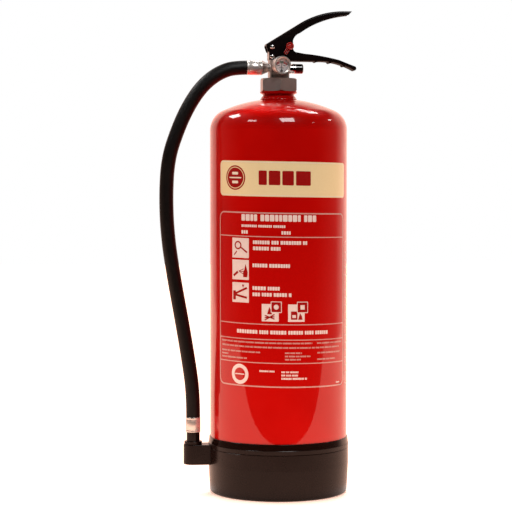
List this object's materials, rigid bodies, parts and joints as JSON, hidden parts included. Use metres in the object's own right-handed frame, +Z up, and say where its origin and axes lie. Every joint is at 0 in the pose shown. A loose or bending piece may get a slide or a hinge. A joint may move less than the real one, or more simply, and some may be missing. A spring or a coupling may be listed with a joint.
{
  "type": "fire extinguisher",
  "caption": "Upright stored-pressure fire extinguisher: red cylinder on a black base skirt, squeeze lever over a carrying handle, pressure gauge, and a hose with its nozzle in a holder.",
  "frame": {"origin": "on the cylinder's axis at the floor, under the base skirt", "axes": "+Z up along the cylinder, +X towards the handle's tip, -Y the front with the gauge and the labels"},
  "size_m": [0.2586, 0.1852, 0.6325],
  "materials": {
    "red_paint": "gloss",
    "base_plastic": "satin",
    "valve_brass": "nickel plated, satin",
    "chrome": "polished",
    "black_enamel": "gloss",
    "stainless": "satin",
    "hose_rubber": "fine woven",
    "soft_rubber": "matte",
    "black_plastic": "gloss",
    "red_plastic": "translucent",
    "white_plastic": "matte",
    "lens_glass": "clear",
    "dial_print": "satin",
    "label_cream": "printed film",
    "label_clear": "printed clear film"
  },
  "bodies": {
    "vessel": {"cylinder_shell": "red_paint", "bottom_dome": "red_paint", "neck_ring": "red_paint", "weld_bead": "red_paint", "neck_gasket": "soft_rubber", "base_skirt": "base_plastic", "nozzle_holder": "base_plastic", "union_nut": "valve_brass", "valve_body": "valve_brass", "stem_o_ring": "soft_rubber", "spring_retainer": "valve_brass", "dip_tube": "white_plastic", "dip_strainer": "white_plastic", "carry_handle": "black_enamel", "pivot_rivet": "chrome", "handle_rivet": "chrome", "tamper_seal": "red_plastic", "gauge_case": "valve_brass", "gauge_bezel": "valve_brass", "gauge_lens": "lens_glass", "gauge_dial": "dial_print", "gauge_movement": "valve_brass", "test_port": "chrome", "test_port_core": "valve_brass", "outlet_adaptor": "valve_brass", "upper_tail": "chrome", "upper_ferrule": "chrome", "hose": "hose_rubber", "name_band": "label_cream", "instruction_label": "label_clear"},
    "lever": {"squeeze_lever": "black_enamel", "press_pin": "stainless"},
    "stem": {"valve_stem": "stainless", "seat_seal": "soft_rubber", "valve_spring": "stainless"},
    "pin": {"safety_pin": "stainless"},
    "ring": {"pull_ring": "stainless"},
    "needle": {"gauge_needle": "black_enamel", "needle_spindle": "stainless"},
    "cap": {"test_port_cap": "black_plastic", "cap_washer": "soft_rubber"},
    "nozzle": {"lower_ferrule": "chrome", "lower_tail": "chrome", "nozzle_body": "base_plastic", "nozzle_collar": "base_plastic", "nozzle_tip": "base_plastic"}
  },
  "joints": [
    {"name": "lever_squeeze", "type": "hinge", "parent": "vessel", "child": "lever", "pos_m": [-0.0095, 0, 0.585], "axis": [0, 1, 0], "range_deg": [0, 14], "stiffness_Nm_per_rad": 2, "springref_deg": -17.19},
    {"name": "stem_press", "type": "slide", "parent": "vessel", "child": "stem", "axis": [0, 0, -1], "range_m": [0, 0.0025], "deforming": ["valve_spring"]},
    {"name": "pin_pull", "type": "slide", "parent": "vessel", "child": "pin", "axis": [0, 1, 0], "range_m": [0, 0.034]},
    {"name": "ring_swing", "type": "hinge", "parent": "pin", "child": "ring", "pos_m": [0.0136, 0.0175, 0.586], "axis": [1, 0, 0], "range_deg": [0, 90]},
    {"name": "needle_swing", "type": "hinge", "parent": "vessel", "child": "needle", "pos_m": [0.00092, -0.02616, 0.5526], "axis": [0.3256, -0.9455, 0], "range_deg": [-45, 45], "stiffness_Nm_per_rad": 0.0005},
    {"name": "cap_pull", "type": "slide", "parent": "vessel", "child": "cap", "axis": [1, 0, 0], "range_m": [0, 0.012]},
    {"name": "nozzle_lift", "type": "slide", "parent": "vessel", "child": "nozzle", "axis": [0, 0, 1], "range_m": [0, 0.03], "deforming": ["hose"]}
  ],
  "couplings": [
    {"joint": "stem_press", "follows": "lever_squeeze", "m_per_rad": 0.01}
  ]
}
